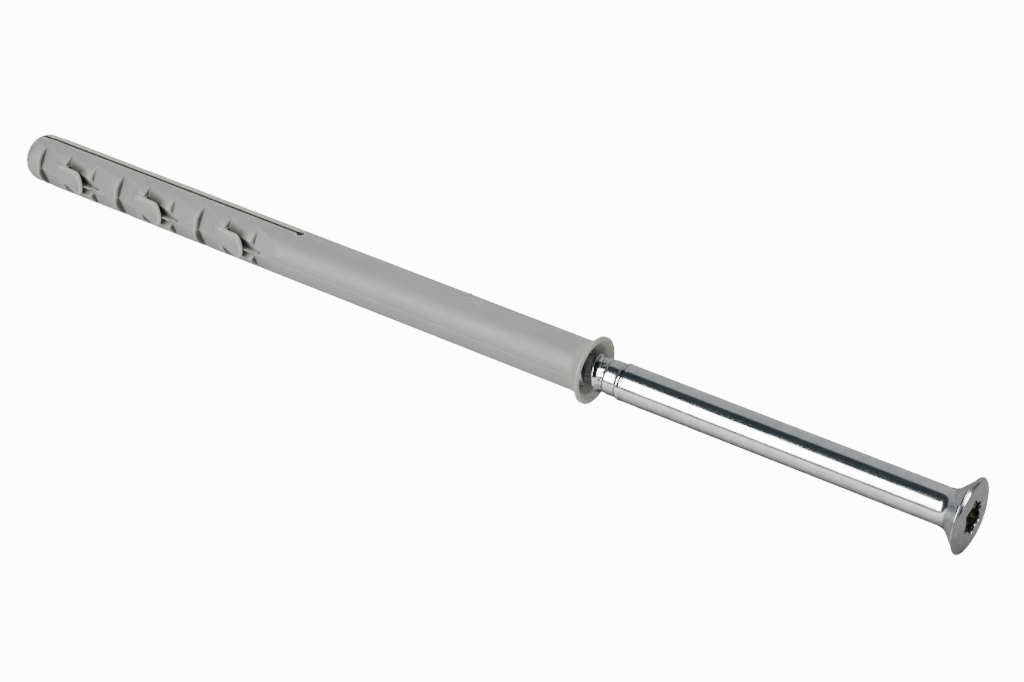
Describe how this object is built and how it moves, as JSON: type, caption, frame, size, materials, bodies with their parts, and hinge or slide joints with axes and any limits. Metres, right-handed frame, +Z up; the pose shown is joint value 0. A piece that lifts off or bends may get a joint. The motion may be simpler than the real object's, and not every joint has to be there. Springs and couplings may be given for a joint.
{
  "type": "frame fixing",
  "caption": "Long frame fixing: a grey ribbed nylon plug with a flared collar, slot and spring tongues, and a bright countersunk screw with a six-lobe drive started in it.",
  "frame": {"origin": "centre of the plug's collar rim, on the common axis of plug and screw", "axes": "+X along the axis towards the screw's head, -X towards the plug's nose, +Z up through the plug's slot, +Y along the far row of spring tongues"},
  "size_m": [0.21, 0.014, 0.014],
  "materials": {
    "nylon": "matte moulded",
    "zinc": "bright zinc plated"
  },
  "bodies": {
    "plug": {"plug": "nylon"},
    "screw": {"screw": "zinc"}
  },
  "joints": [
    {"name": "screw_drive", "type": "slide", "parent": "plug", "child": "screw", "axis": [1, 0, 0], "range_m": [-0.0726, 0.062], "deforming": ["plug"]}
  ]
}
